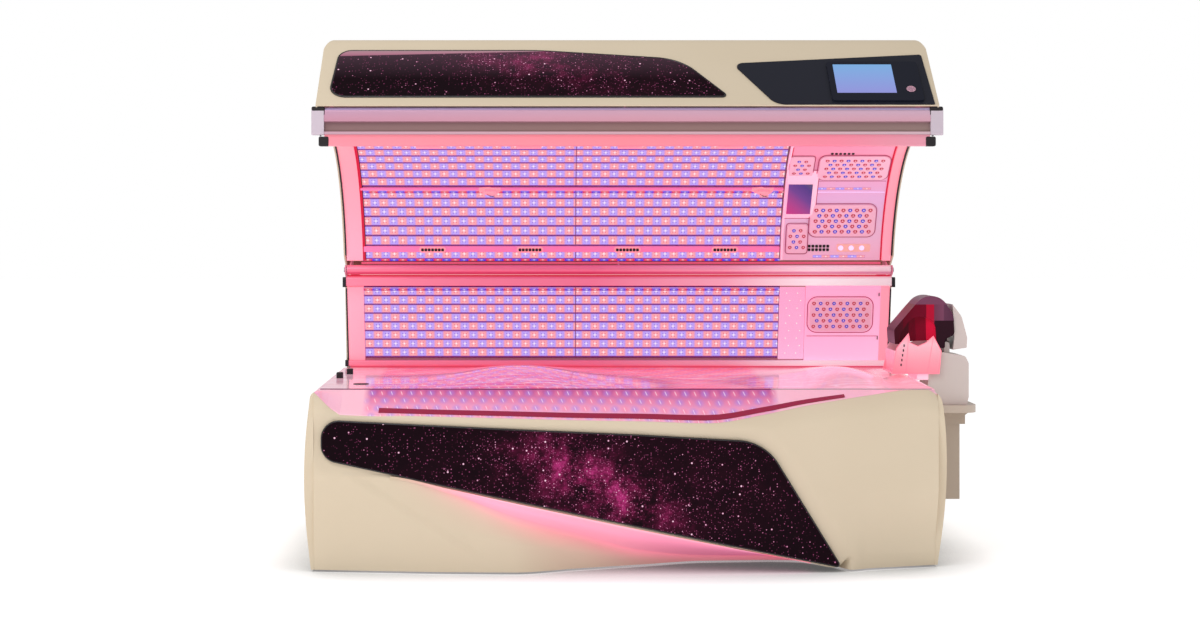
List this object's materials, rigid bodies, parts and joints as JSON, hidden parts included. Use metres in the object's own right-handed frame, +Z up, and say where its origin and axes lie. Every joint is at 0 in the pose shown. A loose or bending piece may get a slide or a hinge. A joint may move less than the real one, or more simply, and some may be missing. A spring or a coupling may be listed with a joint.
{
  "type": "clamshell tanning bed",
  "caption": "Lie-down tanning bed: lit bench and side wall, hinged lamp canopy on two lifts, and a tilting air nozzle at the head end.",
  "frame": {"origin": "on the floor under the middle levelling foot, at the middle of the bed's length", "axes": "+X along the bed towards the head end, +Y from the open front to the back, +Z up"},
  "size_m": [2.5971, 1.3626, 1.9983],
  "materials": {
    "cream_moulding": "satin cream moulded cover",
    "dark_insert": "high-gloss dark panel",
    "pink_diffuser": "lit translucent pink diffuser",
    "clear_acrylic": "clear polished acrylic",
    "pink_reflector": "bright anodised reflector lit pink",
    "led_board": "LED strip",
    "frame_steel": "grey powder coat",
    "zinc_steel": "zinc plated",
    "bare_aluminium": "satin anodised",
    "pink_trim": "gloss pink trim",
    "pink_cheek": "lit pink side panel",
    "black_trim": "black moulded trim",
    "seal_rubber": "black gasket",
    "fascia_black": "dark gloss fascia",
    "screen_glass": "display glass",
    "lamp_panel": "lit pale pink panel",
    "lamp_plate": "lamp plate with round lenses",
    "strip_red": "coloured grip strip",
    "driver_case": "extruded case",
    "fan_plastic": "black glass-filled nylon",
    "tower_grey": "satin warm grey moulding",
    "tower_post_grey": "warm grey powder coat",
    "cradle_pink": "lit translucent moulding",
    "hood_red": "deep red gloss moulding",
    "button_grey": "round push button"
  },
  "bodies": {
    "base": {"base_frame": "frame_steel", "levelling_feet": "zinc_steel", "front_skirt": "cream_moulding", "skirt_insert": "dark_insert", "skirt_glow_panel": "pink_diffuser", "left_end_panel": "cream_moulding", "right_end_panel": "cream_moulding", "base_rear_panel": "frame_steel", "fan_housing": "fan_plastic", "bench_tray": "bare_aluminium", "bench_led_strips": "led_board", "bench_acrylic": "clear_acrylic", "bench_front_flange": "clear_acrylic", "entry_edge_strip": "strip_red", "led_drivers": "driver_case", "mains_gland": "fan_plastic", "wall_frame": "frame_steel", "wall_rear_shell": "cream_moulding", "wall_reflector": "pink_reflector", "wall_led_strips": "led_board", "wall_acrylic": "clear_acrylic", "wall_cheeks": "pink_cheek", "wall_head_panel": "lamp_panel", "wall_face_array": "lamp_plate", "wall_top_profile": "pink_trim", "wall_bottom_profile": "pink_trim", "wall_black_trim": "black_trim", "hinge_pin": "zinc_steel", "tower_post": "tower_post_grey", "tower_tray": "tower_grey", "nozzle_pedestal": "tower_grey", "nozzle_cradle": "cradle_pink"},
    "canopy": {"canopy_frame": "frame_steel", "canopy_hinge_barrel": "pink_trim", "canopy_top_shell": "cream_moulding", "canopy_insert": "dark_insert", "control_fascia": "fascia_black", "display_bezel": "fascia_black", "display_screen": "screen_glass", "grip_rail": "bare_aluminium", "rail_end_caps": "tower_grey", "canopy_lip": "pink_trim", "canopy_reflector": "pink_reflector", "canopy_led_strips": "led_board", "canopy_acrylic": "clear_acrylic", "canopy_service_bars": "pink_trim", "air_outlets": "pink_trim", "mist_nozzles": "pink_trim", "canopy_head_panel": "lamp_panel", "canopy_face_arrays": "lamp_plate", "inner_display": "fascia_black", "canopy_cheeks": "pink_cheek", "canopy_seals": "seal_rubber"},
    "fan": {"fan_rotor": "fan_plastic"},
    "button": {"start_button": "button_grey"},
    "lift_bodies": {"lift_cylinders": "bare_aluminium"},
    "lift_shafts": {"lift_rods": "zinc_steel"},
    "nozzle_head": {"nozzle_hood": "hood_red", "nozzle_shroud": "tower_grey"}
  },
  "joints": [
    {"name": "canopy_hinge", "type": "hinge", "parent": "base", "child": "canopy", "pos_m": [0, 0.27, 1.1], "axis": [1, 0, 0], "range_deg": [0, 40]},
    {"name": "lift_swing", "type": "hinge", "parent": "base", "child": "lift_bodies", "pos_m": [0, 0.43, 0.76], "axis": [1, 0, 0], "range_deg": [-2.6, 0.1]},
    {"name": "lift_extend", "type": "slide", "parent": "lift_bodies", "child": "lift_shafts", "axis": [0, -0.2857, 0.9583], "range_m": [-0.0005, 0.047]},
    {"name": "fan_spin", "type": "hinge", "parent": "base", "child": "fan", "pos_m": [-0.62, 0.6, 0.32], "axis": [0, 1, 0], "continuous": true},
    {"name": "start_press", "type": "slide", "parent": "canopy", "child": "button", "axis": [0, 0.6652, -0.7466], "range_m": [0, 0.003], "stiffness_N_per_m": 400, "springref_m": -0.001},
    {"name": "nozzle_tilt", "type": "hinge", "parent": "base", "child": "nozzle_head", "pos_m": [1.29, -0.07, 0.812], "axis": [0, 1, 0], "range_deg": [0, 20]}
  ],
  "couplings": [
    {"joint": "lift_swing", "follows": "canopy_hinge", "ratio": -0.0625},
    {"joint": "lift_extend", "follows": "canopy_hinge", "m_per_rad": 0.066}
  ]
}
